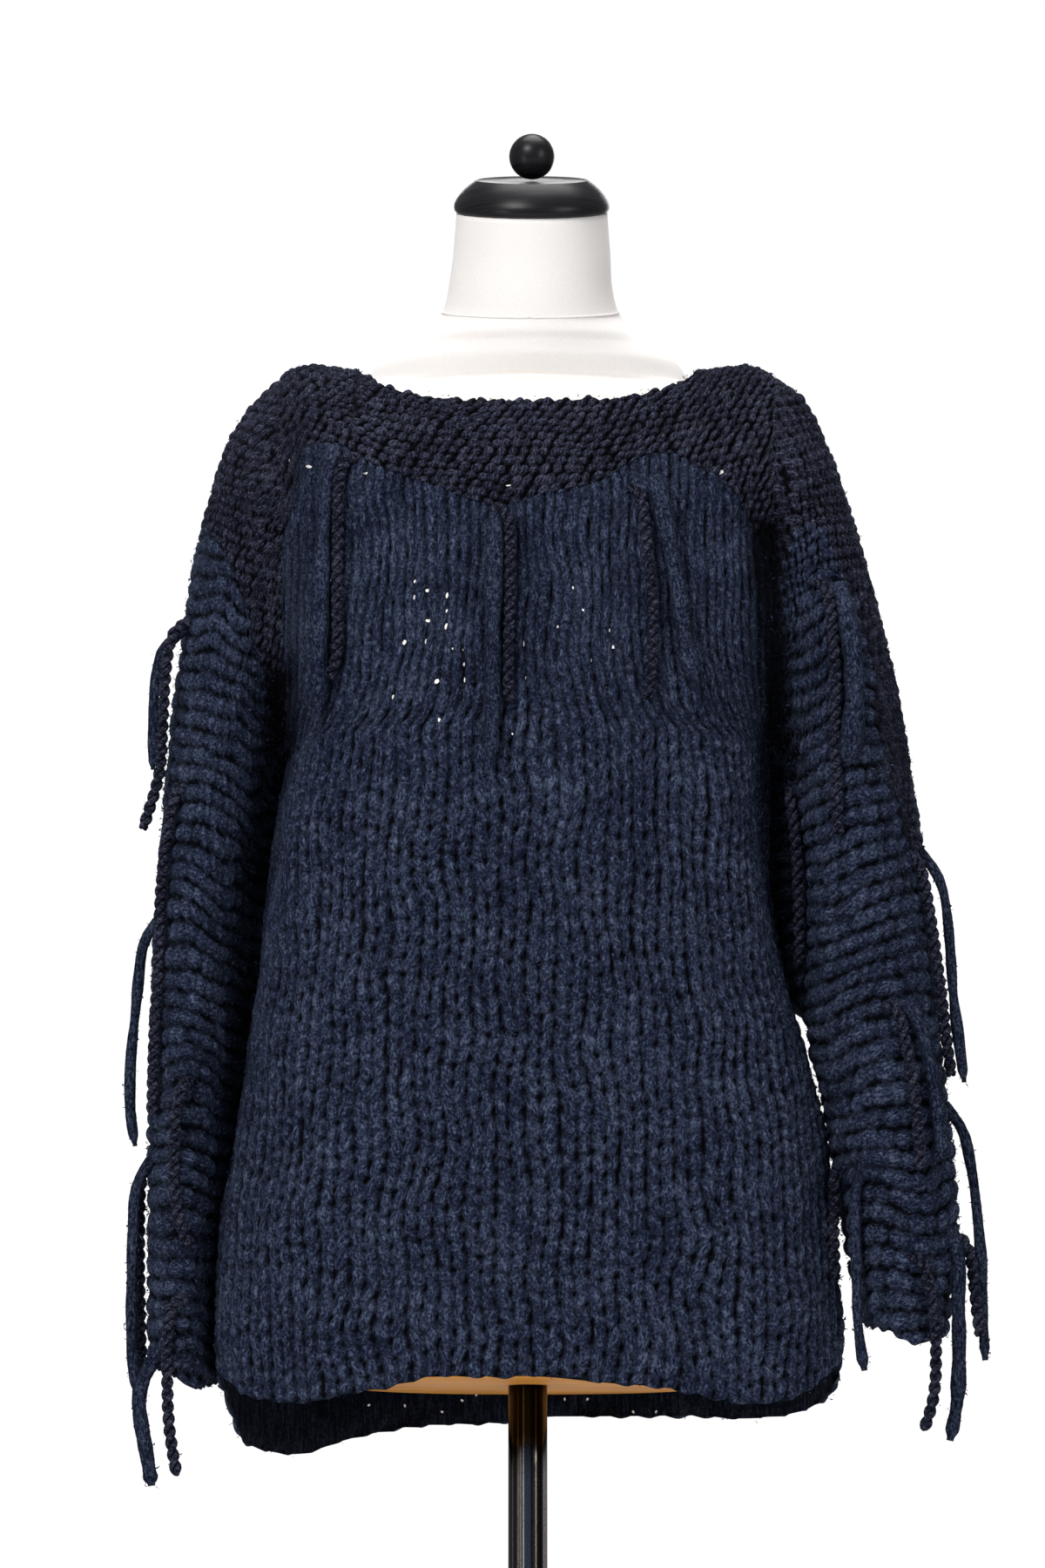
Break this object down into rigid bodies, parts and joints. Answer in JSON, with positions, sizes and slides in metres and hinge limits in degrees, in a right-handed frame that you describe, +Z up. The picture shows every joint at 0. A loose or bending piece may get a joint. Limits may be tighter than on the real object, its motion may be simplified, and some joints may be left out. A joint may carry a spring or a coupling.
{
  "type": "chunky knit sweater on a dress form",
  "caption": "Wide-necked, long-sleeved chunky knit sweater with a dark yoke and hanging yarn tassels, worn by a neck-capped dress form on a pole stand.",
  "frame": {"origin": "centre of the underside of the stand base, on the floor", "axes": "+Z up, -Y the way the wearer faces, +X to the right of a viewer in front"},
  "size_m": [0.605, 0.34, 1.5128],
  "materials": {
    "navy_wool": "felted roving yarn, stocking stitch",
    "dark_wool": "plied yarn, bumpy stitch and twisted cord",
    "form_cover": "smooth stretched jersey",
    "black_lacquer": "satin black lacquer on turned wood",
    "form_board": "varnished board",
    "chrome": "polished tube",
    "stand_base": "satin black paint"
  },
  "bodies": {
    "root": {"back_panel": "navy_wool", "base": "stand_base", "cap_ball": "black_lacquer", "form_board": "form_board", "form_torso": "form_cover", "front_panel": "navy_wool", "neck_cap": "black_lacquer", "pole": "chrome", "sleeve_cap_left": "dark_wool", "sleeve_cap_right": "dark_wool", "sleeve_left": "navy_wool", "sleeve_right": "navy_wool", "tassel_front_1": "dark_wool", "tassel_front_2": "dark_wool", "tassel_front_3": "dark_wool", "tassel_left_1": "dark_wool", "tassel_left_2": "dark_wool", "tassel_left_3": "dark_wool", "tassel_left_4": "navy_wool", "tassel_left_5": "dark_wool", "tassel_left_6": "navy_wool", "tassel_left_7": "dark_wool", "tassel_right_1": "dark_wool", "tassel_right_2": "dark_wool", "tassel_right_3": "dark_wool", "tassel_right_4": "dark_wool", "tassel_right_5": "navy_wool", "tassel_right_6": "dark_wool", "tassel_right_7": "dark_wool", "tassel_right_8": "dark_wool", "yoke_back": "dark_wool", "yoke_front": "dark_wool"}
  },
  "joints": []
}
